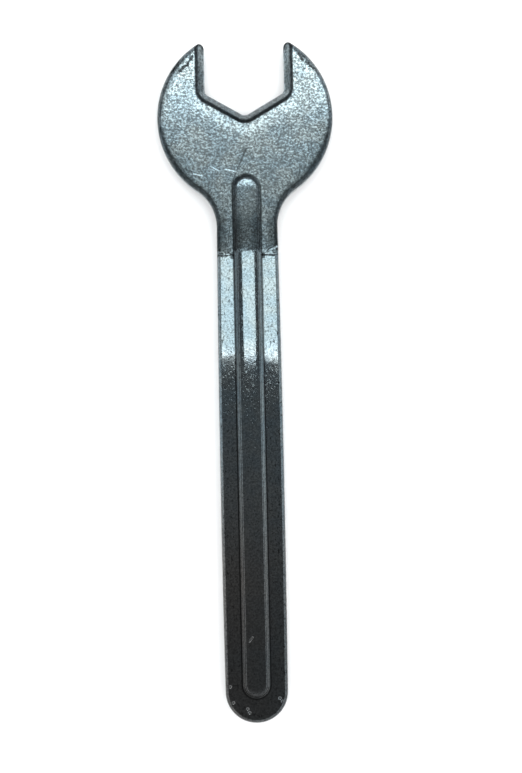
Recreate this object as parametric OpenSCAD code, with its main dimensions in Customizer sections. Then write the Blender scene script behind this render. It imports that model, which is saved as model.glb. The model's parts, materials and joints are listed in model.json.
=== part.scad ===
/* [Jaw] */
// Width across flats of the nut that the jaw takes
jaw_size = 17; // [15:0.5:18]
// Diameter of the round head
head_d = 37.6; // [36:0.2:42]
// Distance from the head's centre up to the jaw's centre
jaw_offset = 10.3; // [9:0.1:11]
// Thickness left flat, across the middle of each jaw wall, to bear on the nut
land_t = 1.8; // [1:0.1:3]
// How far the bevel sets the two parallel jaw walls back at the faces
side_relief = 1.7; // [0.6:0.1:2]
// How far the bevel sets the two angled walls back at the faces
vee_relief = 1.2; // [0.6:0.1:1.4]
// Radius rounding the top of each bevel into the face
lip_r = 1.15; // [0.4:0.05:1.3]
// Distance from the head's centre up to the flat ends of the jaws
tip_y = 16.05; // [15:0.05:16.4]

/* [Handle] */
// Overall length, from the jaws' ends to the tail
length = 145.3; // [120:0.1:180]
// Width of the handle
grip_w = 13.6; // [12:0.1:15]
// Radius of the hollow curve from the head into the handle
neck_r = 9.3; // [8:0.1:12]
// Distance from the head's centre down to the step between neck and grip
step_y = 29.3; // [27:0.1:36]

/* [Thickness] */
// Thickness of the head and neck
head_t = 5.8; // [5.4:0.1:7]
// Thickness of the grip beside the rib, a little prouder than the neck
grip_t = 6; // [5.9:0.1:7.2]
// Radius rounding every outer edge
edge_r = 0.9; // [0.4:0.1:1.2]

/* [Rib] */
// Width of the raised rib at its foot
rib_w = 6.1; // [5.6:0.02:7.6]
// Width of the rib's flat crown
crown_w = 3.2; // [2:0.1:3.6]
// Height of the rib above the grip
rib_h = 0.85; // [0.5:0.05:1]
// Radius of the hollow at the rib's foot
foot_r = 0.8; // [0.4:0.1:1]
// Distance from the head's centre down to the rib's top end
rib_top = 12.2; // [12:0.1:16]
// Metal left between the rib's lower end and the tail
rib_margin = 5.3; // [4.5:0.1:8]

/* [Hidden] */
$fn = 64;
// Overlap that makes cuts run clear of the faces
EPS = 0.5;
// Depth by which two curves cross where they would otherwise only touch
CROSSING = 0.04;

head_r = head_d / 2;
tail_end = length - tip_y;

// The neck's hollow circles touch the handle's sides, and just cross the head's rim
neck_x = grip_w / 2 + neck_r;
neck_y = sqrt(pow(head_r + neck_r - CROSSING, 2) - neck_x * neck_x);

// The tail is a half circle as wide as the handle
tail_r = grip_w / 2;
tail_y = tail_end - tail_r;

// The rib's crown curve and foot curve touch each other on the flank
rib_half = rib_w / 2;
crown_half = crown_w / 2;
rib_z = grip_t / 2 + rib_h;
rib_run = rib_half - crown_half;
crown_r = (rib_run * rib_run + rib_h * rib_h) / (2 * rib_h) - foot_r;
flank_a = asin(rib_run / (crown_r + foot_r));
rib_top_y = rib_top + rib_half;
rib_low_y = tail_end - rib_margin - rib_half;

// Section of a slab of thickness t whose rounded edge is at x = 0 and whose metal lies on the left
module slab_section(w, t) {
    translate([-w, -t / 2])
        square([w - edge_r, t]);
    translate([-w, edge_r - t / 2])
        square([w, t - 2 * edge_r]);
    for (z = [-1, 1])
        translate([-edge_r, z * (t / 2 - edge_r)])
            circle(edge_r);
}

// Round slab with rounded edges
module round_slab(r, t) {
    rotate_extrude()
        intersection() {
            translate([r, 0])
                slab_section(r + EPS, t);
            translate([0, -t])
                square([r, 2 * t]);
        }
}

// Section of what is cut away outside a rounded edge at x = r, with the metal on the right
module waste_section(inner, r, t) {
    difference() {
        translate([inner, -t])
            square([r + edge_r - inner, 2 * t]);
        translate([r, 0])
            mirror([1, 0])
                slab_section(edge_r + EPS, t);
    }
}

// Head, cut off square at the jaws' ends
module head() {
    difference() {
        round_slab(head_r, head_t);
        translate([-head_r, tip_y, -head_t])
            cube([2 * head_r, head_r, 2 * head_t]);
    }
}

// Neck, drawn in between the two hollow circles from well inside the head
module neck(t) {
    inner = [neck_x, -neck_y] / 2;
    difference() {
        translate([0, 0, -t / 2])
            linear_extrude(t)
                polygon([
                    inner,
                    [neck_x, -neck_y],
                    [-neck_x, -neck_y],
                    [-inner.x, inner.y],
                ]);
        for (side = [-1, 1])
            translate([side * neck_x, -neck_y, 0])
                rotate_extrude()
                    waste_section(0, neck_r, t);
    }
}

// A straight stretch of the handle from y1 down to y2
module shank(y1, y2, t) {
    translate([0, -y1, 0])
        rotate([90, 0, 0])
            linear_extrude(y2 - y1)
                for (side = [0, 1])
                    mirror([side, 0])
                        translate([grip_w / 2, 0])
                            slab_section(grip_w / 2 + edge_r, t);
}

// Right half of the rib's section, from the middle of the handle up to one crown
module half_crown() {
    touch = [crown_half + crown_r * sin(flank_a), rib_z - crown_r * (1 - cos(flank_a))];
    difference() {
        union() {
            polygon([
                [0, 0],
                [rib_half, 0],
                [rib_half, grip_t / 2],
                touch,
                [crown_half, rib_z],
                [0, rib_z],
            ]);
            intersection() {
                translate([crown_half, rib_z - crown_r])
                    circle(crown_r);
                square([rib_half, rib_z]);
            }
        }
        translate([rib_half, grip_t / 2 + foot_r])
            circle(foot_r);
    }
}

// Right half of the rib's section, with the crown of each face
module rib_section() {
    for (face = [0, 1])
        mirror([0, face])
            half_crown();
}

// Rib that stands up from both faces, round at both ends
module rib() {
    for (y = [rib_top_y, rib_low_y])
        translate([0, -y, 0])
            rotate_extrude()
                rib_section();
    translate([0, -rib_top_y, 0])
        rotate([90, 0, 0])
            linear_extrude(rib_low_y - rib_top_y)
                for (side = [0, 1])
                    mirror([side, 0])
                        rib_section();
}

// All that lies on the open side of one jaw wall, whose land is at x = 0 with its metal on the right
module open_side(relief) {
    reach = 3 * head_r;
    rise = (head_t - land_t) / 2;
    lean = atan2(relief, rise);
    tangent = lip_r * tan((90 - lean) / 2);
    corner = [relief, head_t / 2];
    on_bevel = corner - tangent * [sin(lean), cos(lean)];
    translate([0, reach / 2, 0])
        rotate([90, 0, 0])
            linear_extrude(reach) {
                translate([-reach, -head_t])
                    square([reach, 2 * head_t]);
                for (face = [0, 1])
                    mirror([0, face])
                        difference() {
                            polygon([
                                [0, land_t / 2],
                                on_bevel,
                                corner + [tangent, 0],
                                [corner.x + tangent, head_t],
                                [0, head_t],
                            ]);
                            translate([corner.x + tangent, head_t / 2 - lip_r + CROSSING])
                                circle(lip_r);
                        }
            }
}

// One wall of the jaw, turned about the jaw's centre
module wall(turn, relief) {
    rotate([0, 0, turn])
        translate([jaw_size / 2, 0, 0])
            open_side(relief);
}

// Mouth of the jaw: two parallel walls, and two that meet at 120 degrees and take the nut's corner
module mouth() {
    intersection() {
        wall(0, side_relief);
        wall(180, side_relief);
        wall(-60, vee_relief);
        wall(-120, vee_relief);
    }
}

// The whole forging, drawn about the jaw's centre at mid thickness
module wrench_forging() {
    color([0.56, 0.61, 0.62])
        translate([0, -jaw_offset, 0]) {
            difference() {
                head();
                translate([0, jaw_offset, 0])
                    mouth();
            }
            neck(head_t);
            shank(neck_y, step_y, head_t);
            shank(step_y, tail_y, grip_t);
            translate([0, -tail_y, 0])
                round_slab(tail_r, grip_t);
            rib();
        }
}

wrench_forging();
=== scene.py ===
import json
import math

import bpy
import numpy as np
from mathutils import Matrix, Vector
from mathutils.geometry import delaunay_2d_cdt


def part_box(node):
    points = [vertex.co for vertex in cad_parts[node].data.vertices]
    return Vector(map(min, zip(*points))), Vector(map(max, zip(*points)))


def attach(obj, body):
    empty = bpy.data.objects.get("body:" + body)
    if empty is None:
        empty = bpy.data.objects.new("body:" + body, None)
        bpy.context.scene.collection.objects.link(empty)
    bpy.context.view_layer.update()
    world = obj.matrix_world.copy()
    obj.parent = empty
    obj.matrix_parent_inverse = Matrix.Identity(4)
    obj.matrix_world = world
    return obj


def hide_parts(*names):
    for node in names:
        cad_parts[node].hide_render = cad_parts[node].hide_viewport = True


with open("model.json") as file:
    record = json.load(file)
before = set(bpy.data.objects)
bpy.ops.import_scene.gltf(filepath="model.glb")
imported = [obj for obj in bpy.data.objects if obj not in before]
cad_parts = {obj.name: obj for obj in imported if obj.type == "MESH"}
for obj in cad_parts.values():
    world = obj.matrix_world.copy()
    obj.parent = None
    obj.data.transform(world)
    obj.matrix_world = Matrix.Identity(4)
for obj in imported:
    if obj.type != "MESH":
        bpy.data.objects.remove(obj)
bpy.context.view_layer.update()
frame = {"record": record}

# ------------------------------------------------------------------------------------------
# The forging. One piece of drop-forged carbon steel: a round head with a hexagonal open jaw,
# a hollow-sided neck, a straight grip with a rib on each face, and a half-round tail. Two
# dies meet at mid thickness, so each half is the same relief drawn up from the parting line.
# ------------------------------------------------------------------------------------------
MM = 0.001
lo, hi = (Vector(corner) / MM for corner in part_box("wrench_forging"))
walls = {m["name"]: m["pos_m"][0] / MM for m in frame["record"]["mounts"]}

jaw_half = walls["jaw_wall_right"]
head_r = hi.x
tip_r = 1.0
tip_x = jaw_half + tip_r
tip_y = hi.y - tip_r
head_y = tip_y - math.sqrt((head_r - tip_r) ** 2 - tip_x**2)
tail_end = lo.y

# Half widths and radii of the plan, in millimetres. The grip swells a little at grip_y
neck_half = 6.55
neck_r = 9.3
neck_x = neck_half + neck_r
neck_y = head_y - math.sqrt((head_r + neck_r) ** 2 - neck_x**2)
grip_half = 6.9
to_widest = 82
to_step = 29.3
grip_y = head_y - to_widest
step_y = head_y - to_step
bow_r = ((neck_y - grip_y) ** 2) / (2 * (grip_half - neck_half))
tail_r = grip_half - (grip_y - tail_end - grip_half) ** 2 / (2 * bow_r)
tail_y = tail_end + tail_r

# Heights above the parting line, then the rounding of the rim and of the jaw's wall and lip
head_h = 2.9
grip_h = 3.0
edge_r = 1.1
draft = 0.07
land = 0.9
land_draft = 0.03
lip_r = 1.65
lip_w = lip_r * math.sin(math.radians(45))
side_wall = 1.15
vee_wall = 1.0

rib_half = 2.98
crown_half = 2.25
rib_top = 12.2
rib_margin = 5.3
rib_ends = (head_y - rib_top - rib_half, tail_end + rib_margin + rib_half)
rib_h = hi.z - grip_h


def arc(centre, radius, start, stop, step):
    """Points along an arc, in degrees, without the last one."""
    count = max(2, math.ceil(abs(math.radians(stop - start)) * radius / step))
    turn = np.radians(np.linspace(start, stop, count + 1)[:-1])
    return np.c_[centre[0] + radius * np.cos(turn), centre[1] + radius * np.sin(turn)]


def run(start, stop, step):
    """Points along a straight line, without the last one."""
    count = max(1, math.ceil(math.dist(start, stop) / step))
    share = np.linspace(0, 1, count + 1)[:-1, None]
    return np.array(start) + share * (np.array(stop) - np.array(start))


def grip_side(inset):
    """The right side of the handle from the neck down to the tail, bowed on a large radius."""
    y = np.linspace(neck_y, tail_y, 90)[:-1]
    return np.c_[grip_half - (y - grip_y) ** 2 / (2 * bow_r) - inset, y]


def rim(inset):
    """Right half of the outer outline, tip to tail, moved inwards by a distance."""
    at_tip = math.degrees(math.atan2(tip_y - head_y, tip_x))
    at_neck = math.degrees(math.atan2(neck_y - head_y, neck_x))
    tip = []
    if inset < tip_r * 0.8:
        tip = [arc((tip_x, tip_y), tip_r - inset, 180, at_tip, 0.12)]
    return np.vstack([
        *tip,
        arc((0, head_y), head_r - inset, at_tip, at_neck, 0.4),
        arc((neck_x, neck_y), neck_r + inset, at_neck + 180, 180, 0.4),
        grip_side(inset),
        arc((0, tail_y), tail_r - inset, 0, -90, 0.4),
        [[0, tail_end + inset]],
    ])


# The jaw's two side corners and its pit are rounded
corner_r = 1.3
corner_y = -jaw_half / math.sqrt(3)
vee_r = 1.6


def mouth(outset, top):
    """Right half of the jaw's outline, from the throat up to the tip, moved out into the metal."""
    bend = (jaw_half - corner_r, corner_y + corner_r / math.sqrt(3))
    pit = (0, -2 * (jaw_half - vee_r) / math.sqrt(3))
    return np.vstack([
        arc(pit, vee_r + outset, -90, -60, 0.3),
        run(
            (pit[0] + (vee_r + outset) / 2, pit[1] - (vee_r + outset) * math.sqrt(3) / 2),
            (bend[0] + (corner_r + outset) / 2, bend[1] - (corner_r + outset) * math.sqrt(3) / 2),
            0.45,
        ),
        arc(bend, corner_r + outset, -60, 0, 0.25),
        run((jaw_half + outset, bend[1]), (jaw_half + outset, top), 0.45),
        [[jaw_half + outset, top]],
    ])


def mirrored(half):
    """The left-hand copy of a half outline."""
    return half * [-1, 1]


def stadium(radius, step):
    """A loop round the rib's spine at a given distance from it."""
    top, low = rib_ends
    return np.vstack([
        arc((0, top), radius, 0, 180, step),
        run((-radius, top), (-radius, low), 0.8),
        arc((0, low), radius, 180, 360, step),
        run((radius, low), (radius, top), 0.8),
    ])


# The plan: one closed outline, with rings inside it wherever the relief bends
outer = rim(0)
throat = mouth(0, tip_y)[:-1]
outline = np.vstack([throat, outer, mirrored(outer)[::-1][1:], mirrored(throat)[::-1][:-1]])
quarter = np.radians([15, 27, 38, 49, 60, 70, 80])
rim_rings = [draft * 0.5, draft, *(draft + edge_r * (1 - np.sin(np.pi / 2 - q)) for q in quarter)]
rim_rings += [draft + edge_r, draft + edge_r + 0.5]
mouth_rings = [land_draft, 0.35, *np.arange(0.7, 2.0, 0.15), 2.1, 2.35, 2.7]
rib_rings = [0.5, 0.95, 1.3, 1.6, 1.85, 2.0, 2.15, *np.arange(2.3, 3.2, 0.12), 3.3, 3.6]
step_offsets = (-0.25, -0.1, 0, 0.1, 0.25)
step_reach = (3.7, 6.6)
points, edges = [], []


def trace(path, closed):
    """Adds a chain of points to the plan and keeps its edges."""
    first = len(points)
    points.extend(map(tuple, path))
    count = len(path)
    edges.extend((first + i, first + i + 1) for i in range(count - 1))
    if closed:
        edges.append((first + count - 1, first))


trace(outline, True)
rings = []
for inset in rim_rings:
    half = rim(inset)
    rings.append((np.vstack([half, mirrored(half)[::-1][1:]]), False))
for outset in mouth_rings:
    half = mouth(outset, hi.y)
    rings.append((np.vstack([mirrored(half)[::-1], half[1:]]), False))
for radius in rib_rings:
    rings.append((stadium(radius, 0.35), True))
rings.append((run((0, rib_ends[0]), (0, rib_ends[1]), 0.8), False))
for offset in step_offsets:
    for side in (-1, 1):
        inner, outer_end = ((side * x, step_y + offset) for x in step_reach)
        rings.append((run(inner, outer_end, 0.25), False))
for path, closed in rings:
    trace(path, closed)

# Loose points fill the flats between the rings
GAP = 0.3
SPACING = 0.62
rows = np.arange(lo.y, hi.y, SPACING * math.sqrt(3) / 2)
cols = np.arange(lo.x, hi.x, SPACING)
fill = np.array([(x + SPACING / 2 * (i % 2), y) for i, y in enumerate(rows) for x in cols])


def nearest(targets, path, closed=False):
    """Distance from each point to the nearest stretch of a path."""
    a = path if closed else path[:-1]
    b = np.roll(path, -1, axis=0) if closed else path[1:]
    best = np.full(len(targets), np.inf)
    for p, q in zip(a, b):
        stretch = q - p
        share = np.clip(((targets - p) @ stretch) / max(stretch @ stretch, 1e-12), 0, 1)
        best = np.minimum(best, np.linalg.norm(targets - p - share[:, None] * stretch, axis=1))
    return best


clear = np.ones(len(fill), bool)
for path, closed in [(outline, True), *rings]:
    clear &= nearest(fill, path, closed) > GAP
points.extend(map(tuple, fill[clear]))

plan = delaunay_2d_cdt(
    [Vector(p) for p in points], edges, [list(range(len(outline)))], 1, 1e-5
)
used = sorted({i for face in plan[2] for i in face})
renumber = {old: new for new, old in enumerate(used)}
flat = np.array([tuple(plan[0][i]) for i in used])
faces = [[renumber[i] for i in face] for face in plan[2]]

# How far each point lies inside the rim, the mouth and the rib tells the relief how high it is
rim_path = np.vstack([mirrored(outer), outer[::-1][1:]])
past_tips = mouth(0, hi.y + 5)
mouth_path = np.vstack([mirrored(past_tips)[::-1], past_tips[1:]])
spine = np.array([(0, rib_ends[0]), (0, rib_ends[1])])
measures = {
    "from_rim": nearest(flat, rim_path),
    "from_mouth": nearest(flat, mouth_path),
    "from_spine": nearest(flat, spine),
}


def smooth(low, high, value):
    """Rises from 0 to 1 between two limits, with level ends."""
    t = np.clip((value - low) / (high - low), 0, 1)
    return t * t * (3 - 2 * t)


to_side = smooth(corner_y - 1.2, corner_y + 0.6, flat[:, 1])
measures["wall"] = vee_wall + (side_wall - vee_wall) * to_side

mesh = bpy.data.meshes.new("wrench_body")
mesh.from_pydata(np.c_[flat * MM, np.zeros(len(flat))].tolist(), [], faces)
for name, values in measures.items():
    layer = mesh.attributes.new(name, "FLOAT", "POINT")
    layer.data.foreach_set("value", values.astype(np.float32))
body = bpy.data.objects.new("wrench_body", mesh)
bpy.context.scene.collection.objects.link(body)


class Wire:
    """A node socket that can be written in an expression like a number."""

    def __init__(self, tree, socket):
        self.tree = tree
        self.socket = socket

    def add(self, kind, settings=None, inputs=None, out=0):
        """Adds a node, given its type, settings, socket values or wires, and the output to use."""
        node = self.tree.nodes.new(kind)
        for name, value in (settings or {}).items():
            if name == "stops":
                while len(node.color_ramp.elements) < len(value):
                    node.color_ramp.elements.new(0.5)
                for stop, (place, colour) in zip(node.color_ramp.elements, value):
                    stop.position = place
                    stop.color = colour
            else:
                setattr(node, name, value)
        for name, value in (inputs or {}).items():
            if isinstance(value, Wire):
                self.tree.links.new(value.socket, node.inputs[name])
            else:
                node.inputs[name].default_value = value
        return Wire(self.tree, node.outputs[out])

    def maths(self, operation, *others):
        """One maths node with this socket as its first value."""
        return self.add("ShaderNodeMath", {"operation": operation}, dict(enumerate((self, *others))))

    def __add__(self, other):
        return self.maths("ADD", other)

    __radd__ = __add__

    def __mul__(self, other):
        return self.maths("MULTIPLY", other)

    __rmul__ = __mul__

    def __sub__(self, other):
        return self.maths("SUBTRACT", other)

    def __rsub__(self, other):
        return self.add("ShaderNodeMath", {"operation": "SUBTRACT"}, {0: other, 1: self})

    def __truediv__(self, other):
        return self.maths("DIVIDE", other)

    def __pow__(self, other):
        return self.maths("POWER", other)

    def step(self, low, high):
        """Rises smoothly from 0 to 1 as the value goes from low to high."""
        ends = {0: self, 1: low, 2: high, 3: 0.0, 4: 1.0}
        return self.add("ShaderNodeMapRange", {"interpolation_type": "SMOOTHSTEP"}, ends)


# The relief: a tree that lifts the plan, in millimetres, and joins it to its own mirror image
relief = bpy.data.node_groups.new("forged_relief", "GeometryNodeTree")
relief.interface.new_socket("Plan", in_out="INPUT", socket_type="NodeSocketGeometry")
relief.interface.new_socket("Metal", in_out="INPUT", socket_type="NodeSocketMaterial")
sizes = {
    "Head height": head_h,
    "Grip height": grip_h,
    "Step line": step_y,
    "Edge radius": edge_r,
    "Rim draft": draft,
    "Land height": land,
    "Lip radius": lip_r,
    "Rib height": rib_h,
    "Rib half width": rib_half,
    "Crown half width": crown_half,
    "Waviness": 0.02,
}
keys = {}
for name, value in sizes.items():
    socket = relief.interface.new_socket(name, in_out="INPUT", socket_type="NodeSocketFloat")
    socket.default_value = value
    keys[name] = socket.identifier
relief.interface.new_socket("Forging", in_out="OUTPUT", socket_type="NodeSocketGeometry")
start = relief.nodes.new("NodeGroupInput")
given = {s.name: Wire(relief, s) for s in start.outputs if s.name}
any_wire = given["Plan"]


def measured(name):
    """One of the plan's distances, read inside the relief tree."""
    return any_wire.add("GeometryNodeInputNamedAttribute", {"data_type": "FLOAT"}, {"Name": name})


position = any_wire.add("GeometryNodeInputPosition")
plan_y = position.add("ShaderNodeSeparateXYZ", {}, {0: position}, "Y") / MM


def unevenness(scale, detail):
    """Soft noise that roughens the relief."""
    inputs = {"Vector": position, "Scale": scale, "Detail": detail}
    return any_wire.add("ShaderNodeTexNoise", {"noise_dimensions": "3D"}, inputs)


# Face: the neck steps up to the grip behind a shallow ragged groove
groove_depth = 0.07
past_step = plan_y.step(given["Step line"] + 0.12, given["Step line"] - 0.12)
into_groove = plan_y.step(given["Step line"] + 0.22, given["Step line"] + 0.08)
out_of_groove = plan_y.step(given["Step line"] - 0.12, given["Step line"] + 0.04)
groove = into_groove * out_of_groove
face = given["Head height"] + (given["Grip height"] - given["Head height"]) * past_step
face = face - groove * unevenness(900.0, 2.0).step(0.42, 0.6) * groove_depth

# Polishing rounds the face off towards the rim and the mouth, and leaves large soft swells
rim_dub = 0.07
mouth_dub = 0.13
swell = unevenness(110.0, 1.0)
from_rim = measured("from_rim")
from_mouth = measured("from_mouth")
dub = rim_dub * (1 - from_rim.step(0.6, 3.4)) + mouth_dub * (1 - from_mouth.step(2.0, 4.6))
face = face - dub + (swell - 0.5) * given["Waviness"] * 2

# Rib: a sloping flank, blended hollow into the face and round into the crown
crown_fall = 0.035
foot_blend = 0.22
crown_blend = 0.3
from_spine = measured("from_spine")
flank_width = given["Rib half width"] - given["Crown half width"]
up_flank = (given["Rib half width"] - from_spine) / flank_width
flank = face + given["Rib height"] * (up_flank * 1.1 - 0.2)
foot = flank.maths("SMOOTH_MAX", face, foot_blend)
spread = from_spine.maths("MINIMUM", rib_half)
crown = given["Grip height"] + given["Rib height"] - spread * spread * crown_fall
ribbed = foot.maths("SMOOTH_MIN", crown, crown_blend)

# Rim: a drafted side wall, then a quarter round, which is tighter down the grip
grip_edge = 0.68
edge = given["Edge radius"] * (grip_edge + (1 - grip_edge) * plan_y.step(neck_y - 5, neck_y + 8))
inside = (from_rim - given["Rim draft"]) / edge
turned = (1 - (1 - inside.maths("MINIMUM", 1.0).maths("MAXIMUM", 0.0)) ** 2.0).maths("SQRT")
shoulder = face - edge
wall = shoulder * (from_rim / given["Rim draft"]).maths("MINIMUM", 1.0)
rounded = wall + edge * turned

# Mouth: a flat land, then a steep wall that rolls over a round lip into the face
wall_width = measured("wall")
lip_drop = given["Lip radius"] - (given["Lip radius"] ** 2.0 - lip_w**2).maths("SQRT")
foot_of_wall = (from_mouth / land_draft).maths("MINIMUM", 1.0)
up_wall = ((from_mouth - land_draft) / wall_width).maths("MINIMUM", 1.0).maths("MAXIMUM", 0.0)
to_lip_end = lip_w + land_draft + wall_width - from_mouth
over_lip = to_lip_end.maths("MINIMUM", lip_w).maths("MAXIMUM", 0.0)
roll = (given["Lip radius"] ** 2.0 - over_lip * over_lip).maths("SQRT") - given["Lip radius"]
jaw = given["Land height"] * foot_of_wall + up_wall * (face - lip_drop - given["Land height"])
jaw = jaw + up_wall * (roll + lip_drop)

weld = 0.000004
top = rounded.maths("MINIMUM", jaw) + (ribbed - face)
lift = any_wire.add("ShaderNodeCombineXYZ", {}, {"Z": top * MM})
raised = any_wire.add("GeometryNodeSetPosition", {}, {"Geometry": given["Plan"], "Offset": lift})
upturned = any_wire.add("GeometryNodeTransform", {}, {"Geometry": raised, "Scale": (1, 1, -1)})
upturned = any_wire.add("GeometryNodeFlipFaces", {}, {"Mesh": upturned})
pair = any_wire.add("GeometryNodeJoinGeometry", {}, {})
relief.links.new(raised.socket, pair.socket.node.inputs[0])
relief.links.new(upturned.socket, pair.socket.node.inputs[0])
closed = any_wire.add("GeometryNodeMergeByDistance", {}, {"Geometry": pair, "Distance": weld})
smoothed = any_wire.add("GeometryNodeSetShadeSmooth", {}, {"Geometry": closed})
real = any_wire.add("GeometryNodeRealizeInstances", {}, {"Geometry": smoothed})
painted = any_wire.add("GeometryNodeSetMaterial", {}, {"Geometry": real, "Material": given["Metal"]})
finish = relief.nodes.new("NodeGroupOutput")
relief.links.new(painted.socket, finish.inputs[0])

# Finish: bright plating over the forged skin, which still shows as a fine sparkling grain
metal = bpy.data.materials.new("plated_steel")
metal.use_nodes = True
shader = metal.node_tree.nodes["Principled BSDF"]
shader.inputs["Metallic"].default_value = 1.0
base = Wire(metal.node_tree, shader.inputs["Base Color"])
coords = base.add("ShaderNodeTexCoord", out="Object")
across, along = (base.add("ShaderNodeSeparateXYZ", {}, {0: coords}, axis) / MM for axis in "XY")


def noise(scale, detail=2.0, roughness=0.5, squash=(1, 1, 1), warp=0.0):
    """Noise with about this many lumps to the millimetre."""
    stretched = coords.add("ShaderNodeMapping", {}, {"Vector": coords, "Scale": squash})
    settings = {"noise_dimensions": "3D"}
    inputs = {"Vector": stretched, "Scale": scale / MM, "Detail": detail, "Roughness": roughness}
    return coords.add("ShaderNodeTexNoise", settings, {**inputs, "Distortion": warp})


def tinted(mask, low, high):
    """A colour that goes from one to the other with a mask."""
    low, high = (colour if isinstance(colour, Wire) else (*colour, 1) for colour in (low, high))
    return mask.add("ShaderNodeMix", {"data_type": "RGBA"}, {"Factor": mask, 6: low, 7: high}, 2)


def shaded(colour, amount):
    """A colour made darker by a value from 0 to 1."""
    return colour.add("ShaderNodeVectorMath", {"operation": "SCALE"}, {0: colour, "Scale": amount})


def near(x, y, radius, soft=0.5):
    """1 at a spot on the faces, falling to 0 at a radius in millimetres."""
    apart = ((across - x) ** 2.0 + (along - y) ** 2.0) ** 0.5
    return 1 - apart.step(radius * soft, radius)


def stroke(start, stop, width, ragged=0.0):
    """1 along a straight mark between two places on the faces, 0 away from it."""
    dx, dy = stop[0] - start[0], stop[1] - start[1]
    x, y = across - start[0], along - start[1]
    share = ((x * dx + y * dy) / (dx * dx + dy * dy)).maths("MAXIMUM", 0.0).maths("MINIMUM", 1.0)
    apart = ((x - share * dx) ** 2.0 + (y - share * dy) ** 2.0) ** 0.5
    return 1 - (apart + (wander - 0.5) * ragged).step(width * 0.3, width)


def strokes(places, width, ragged=0.0):
    """Marks along each pair of places."""
    return sum((stroke(start, stop, width, ragged) for start, stop in places), start=flat_wire)


rim_in, mouth_in, spine_in = (
    base.add("ShaderNodeAttribute", {"attribute_name": name}, out="Fac")
    for name in ("from_rim", "from_mouth", "from_spine")
)
wander = noise(1.6, 3.0, 0.7)
flat_wire = across * 0.0

# Zones: the head and neck keep the coarse forged grain, the grip was dressed smoother
edge_of_neck = along + 2.4 * (wander - 0.5)
on_head = edge_of_neck.step(step_y + 0.3, step_y + 1.4)
on_neck = on_head * (1 - along.step(neck_y - 1, neck_y + 7))
on_rib = 1 - spine_in.step(2.6, 3.0)
at_rim = 1 - rim_in.step(1.0, 3.6)
down_grip = 1 - along.step(grip_y - 20, step_y - 30)
tail_shade = 1 - along.step(tail_y, tail_y + 60)
warm_side = 0.5 - across * 0.04 + 0.8 * (noise(0.1, 2.0) - 0.5)
warm_side = warm_side.maths("MINIMUM", 1.0).maths("MAXIMUM", 0.0)

# Grain: shallow pebbles, black pinholes and lengthwise wrinkles where the plating is thin
pebbles = noise(2.3, 2.0, 0.55)
lumps = noise(0.8, 2.0, 0.5)
wrinkles = noise(2.4, 3.0, 0.6, (1, 0.5, 1), 0.5).step(0.56, 0.68)
pinholes = noise(3.2, 1.0, 0.5).step(0.62, 0.72)
coarse = on_head * (1 - 0.5 * on_rib)
grain_depth = 0.035 + 0.965 * coarse + 0.04 * on_rib * (1 - on_head)
wear_marks = strokes(
    [
        ((-10.9, 2.9), (-12.0, 1.3)),
        ((-12.3, 0.9), (-13.6, -0.2)),
        ((-13.9, 1.7), (-15.5, -0.6)),
        ((11.6, 3.1), (12.8, 1.5)),
        ((13.2, 1.3), (14.9, -0.4)),
    ],
    0.34,
    1.5,
)
scratches = strokes(
    [
        ((-7.4, -20.6), (-5.7, -21.6)),
        ((-4.2, -21.3), (-2.2, -21.8)),
        ((-11.0, -22.1), (-9.4, -22.5)),
        ((4.9, -38.6), (6.2, -38.0)),
        ((-1.3, -121.9), (-0.7, -121.0)),
    ],
    0.3,
    0.25,
)

# Tones: painted shade darkens the jaw's walls and lip, the rounded rim and the foot of the rib, but
# not the side wall, and a dark ragged line is painted along the step
# Painted shade: the jaw's walls are darker at the pit than at the side corners
jaw_wall_shade = 0.27 + 0.16 * along.step(corner_y - 1.2, corner_y + 0.6)
flank_shade_spot = near(-17.2, -3.0, 9.0, 0.4)
low_flank = along.step(head_y - 22, head_y - 15) * (1 - along.step(head_y - 8, head_y + 2))
# A dark ragged line painted along the step, broken up and kept off the rib
from_step_dark_line = (along - step_y + 0.1 + 1.2 * (wander - 0.5)).maths("ABSOLUTE")
broken_up = noise(0.7, 2.0).step(0.36, 0.46)
step_dark_line = (1 - from_step_dark_line.step(0.08, 0.26)) * (broken_up * (1 - on_rib))
on_side = 1 - rim_in.step(0.05, 0.12)
# Painted shade: the rounded rim is darker towards the outline, over a wider band on the head's left
# and lower flanks
rim_shade = (0.38 + 0.62 * rim_in.step(0.1, 0.75)) * (
    0.36 + 0.64 * (rim_in - 0.9 * low_flank - 0.9 * flank_shade_spot).step(0.1, 0.6 + 0.6 * on_head)
)
on_land = 1 - mouth_in.step(0.03, 0.12)
# Painted shade: a dark line along the jaw's lip, over the darkened walls
lip_line = mouth_in.step(1.1, 1.35) * (1 - mouth_in.step(1.85, 2.2))
jaw_shade = (jaw_wall_shade + (1 - jaw_wall_shade) * mouth_in.step(1.6, 2.2)) * (1 - 0.6 * lip_line)
# Painted shade in the crease along the rib's foot, lighter on the right side
rib_foot_shade = spine_in.step(2.0, 2.3) * (1 - spine_in.step(3.05, 3.35))
foot_tone = 0.84 - 0.12 * across.step(0, 2)
crack = strokes([((0.2, -17.1), (-1.0, -19.5)), ((-1.0, -19.5), (-3.1, -24.6))], 0.22, 0.4)
dent_places = (
    (-5.6, -131.6), (-5.0, -135.0), (4.9, -134.2), (5.5, -134.9), (-2.0, -136.4), (-1.6, -137.2),
)
dents = sum((near(x, y, 0.42) for x, y in dent_places), start=flat_wire)
# Depths of the grain and the marks, in millimetres
height = (
    pebbles * grain_depth * 0.032
    + lumps * grain_depth * 0.022
    - wrinkles * 0.008 * (0.3 + 0.7 * on_head)
    - wear_marks * 0.05
    - scratches * 0.03
    - crack * 0.02
    - dents * 0.04
)
bump = base.add("ShaderNodeBump", {}, {"Height": height, "Strength": 1.0, "Distance": MM})
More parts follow.
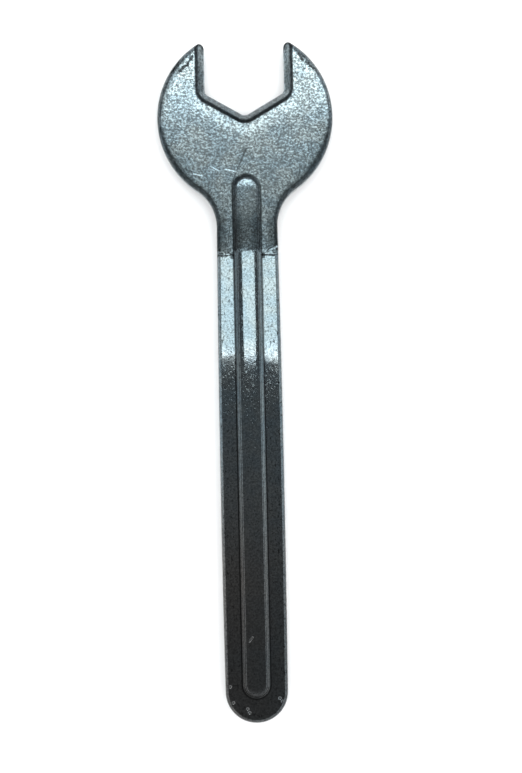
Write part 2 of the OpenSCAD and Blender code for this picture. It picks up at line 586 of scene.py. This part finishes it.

# Colour: blue-white plating, browner towards the tail, dull in the pits, with painted shade on the
# mouth, the rim, the rib's foot, the neck, the head below the jaw and the tail
speckle = pebbles.step(0.38, 0.62)
blue = (0.63, 0.80, 0.89)
silver = (0.73, 0.86, 0.90)
bronze = (0.80, 0.73, 0.68)
cool = tinted(noise(0.22, 3.0, 0.6).step(0.36, 0.64), blue, silver)
plating = tinted(down_grip * (0.3 + 0.6 * warm_side), cool, bronze)
shade = (
    (0.70 - 0.3 * on_head + (0.30 + 0.3 * on_head) * speckle)
    * (1 - (0.55 + 0.2 * at_rim) * wrinkles * (1 - 0.6 * on_rib))
    * (1 - 0.6 * pinholes)
    # Painted shade: the neck is darker, most on the rib's crown and on the rails away from the rib's
    # foot
    * (1 - on_neck * (0.05 + 0.55 * on_rib + 0.55 * spine_in.step(3.2, 5.2)))
    * (rim_shade + (0.8 - rim_shade) * on_side)
    * (jaw_shade + (0.7 - jaw_shade) * on_land)
    * (1 - foot_tone * rib_foot_shade)
    # Painted shade: the head is darker below the jaw
    * (1 - 0.24 * on_head * (1 - along.step(-13.0, -5.0)))
    * (1 - 0.85 * step_dark_line)
    # Painted shade: darker towards the tail
    * (1 - 0.45 * tail_shade)
    * (1 - 0.85 * wear_marks.maths("MINIMUM", 1.0))
    * (1 - 0.6 * crack.maths("MINIMUM", 1.0))
)
bright = (scratches + dents).maths("MINIMUM", 1.0)
colour = shaded(plating, shade + bright * (1 - shade))
rough = (
    0.038
    + 0.09 * on_head
    + (0.015 + 0.06 * on_head) * (1 - speckle)
    + 0.15 * (1 - mouth_in.step(0.6, 2.0))
)
metal.node_tree.links.new(colour.socket, shader.inputs["Base Color"])
metal.node_tree.links.new(rough.socket, shader.inputs["Roughness"])
metal.node_tree.links.new(bump.socket, shader.inputs["Normal"])

forge = body.modifiers.new("relief", "NODES")
forge.node_group = relief
for name, key in keys.items():
    forge[key] = sizes[name]
forge[relief.interface.items_tree["Metal"].identifier] = metal
bpy.context.view_layer.update()
made = bpy.data.meshes.new_from_object(body.evaluated_get(bpy.context.evaluated_depsgraph_get()))
body.modifiers.clear()
body.data = made
made.name = "wrench_body"
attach(body, "root")
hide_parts("wrench_forging")

# ------------------------------------------------------------------------------------------
# The bench, camera and studio. A plain pale sheet lies under the ribs; the camera looks
# straight down, and soft cards hang over the wrench, where its flats and flanks reflect them.
# ------------------------------------------------------------------------------------------
VIEW_H = 0.4
AIM_X = 2.25
AIM_Y = -0.86
middle = Vector((AIM_X, (lo.y + hi.y) / 2 + AIM_Y, 0)) * MM
bench_mesh = bpy.data.meshes.new("bench")
bench_half = 5.0
corners = ((-1, -1), (1, -1), (1, 1), (-1, 1))
bench_mesh.from_pydata(
    [(x * bench_half, y * bench_half + middle.y, lo.z * MM) for x, y in corners], [], [(0, 1, 2, 3)]
)
bench = bpy.data.objects.new("bench", bench_mesh)
bpy.context.scene.collection.objects.link(bench)
paper = bpy.data.materials.new("bench_paper")
paper.use_nodes = True
sheet = paper.node_tree.nodes["Principled BSDF"]
sheet.inputs["Base Color"].default_value = (0.93, 0.93, 0.93, 1)
sheet.inputs["Roughness"].default_value = 0.9
sheet.inputs["Specular IOR Level"].default_value = 0.1
bench_mesh.materials.append(paper)

camera = bpy.data.objects.new("camera", bpy.data.cameras.new("camera"))
bpy.context.scene.collection.objects.link(camera)
bpy.context.scene.camera = camera
camera.data.sensor_width = 36
camera.data.lens = 87.45
camera.data.clip_start = 0.01
camera.location = middle + Vector((0, 0, VIEW_H + head_h * MM))
camera.rotation_euler = (0, 0, math.radians(-1.2))


def card(name, centre, size, glow, colour=(1, 1, 1), hidden=False, turned=True):
    """A flat soft light that faces the wrench. glow is how bright it looks in a mirror."""
    lamp = bpy.data.objects.new(name, bpy.data.lights.new(name, "AREA"))
    bpy.context.scene.collection.objects.link(lamp)
    lamp.location = centre
    if turned:
        lamp.rotation_euler = (Vector(centre) - middle).to_track_quat("Z", "Y").to_euler()
    lamp.data.shape = "RECTANGLE"
    lamp.data.size, lamp.data.size_y = size
    lamp.data.energy = glow * math.pi * size[0] * size[1]
    lamp.data.color = colour
    lamp.visible_camera = False
    lamp.visible_glossy = not hidden
    return lamp


def overhead(name, near_y, far_y, width, glow, colour=(1, 1, 1)):
    """A card reflected by the flats from near_y to far_y above the view's middle, in millimetres."""
    # At the camera's own height, a mirror image reaches twice as far out as the flat it is in
    y = [middle.y + reach * 2 * MM for reach in (near_y, far_y)]
    return card(name, (middle.x, sum(y) / 2, VIEW_H), (width, y[1] - y[0]), glow, colour, turned=False)


overhead("card_grip", 8.6, 30.0, 0.15, 0.98, (0.93, 1.0, 1.0))
overhead("card_end", 6.0, 8.6, 0.14, 1.5)
overhead("card_neck", 31.5, 42.0, 0.3, 0.18, (0.9, 1.0, 1.0))
overhead("card_head", 42.0, 57.0, 0.3, 0.13, (0.9, 1.0, 1.0))
overhead("card_jaws", 57.0, 110.0, 0.4, 1.7, (0.95, 1.0, 1.0))
card("bench_light", (0.1, middle.y + 0.1, 1.6), (2.6, 2.6), 2.6, hidden=True)
card("left_window", (-1.1, middle.y, 0.25), (0.9, 0.22), 0.9)
card("right_window", (1.1, middle.y, 0.25), (0.9, 0.22), 0.5, (0.85, 0.95, 1.0))
card("left_strip", (-0.42, middle.y, 0.8), (1.2, 0.06), 0.5)
card("right_strip", (0.42, middle.y, 0.8), (1.2, 0.06), 0.6, (0.85, 0.95, 1.0))

world = bpy.data.worlds.new("studio")
bpy.context.scene.world = world
world.use_nodes = True
# The dome is dark overhead, so the grip stays dark from above, and pale towards the horizon
sky = Wire(world.node_tree, world.node_tree.nodes["Background"].inputs["Color"])
ray = sky.add("ShaderNodeTexCoord", out="Generated")
upward = sky.add("ShaderNodeSeparateXYZ", {}, {0: ray}, "Z")
dome_stops = [
    (0.0, (0.8, 0.8, 0.8, 1)),
    (0.35, (0.52, 0.55, 0.57, 1)),
    (0.82, (0.27, 0.28, 0.29, 1)),
    (0.95, (0.064, 0.066, 0.068, 1)),
]
dome = sky.add("ShaderNodeValToRGB", {"stops": dome_stops}, {0: upward})
world.node_tree.links.new(dome.socket, sky.socket)
bpy.context.scene.view_settings.view_transform = "Standard"

bpy.context.view_layer.update()
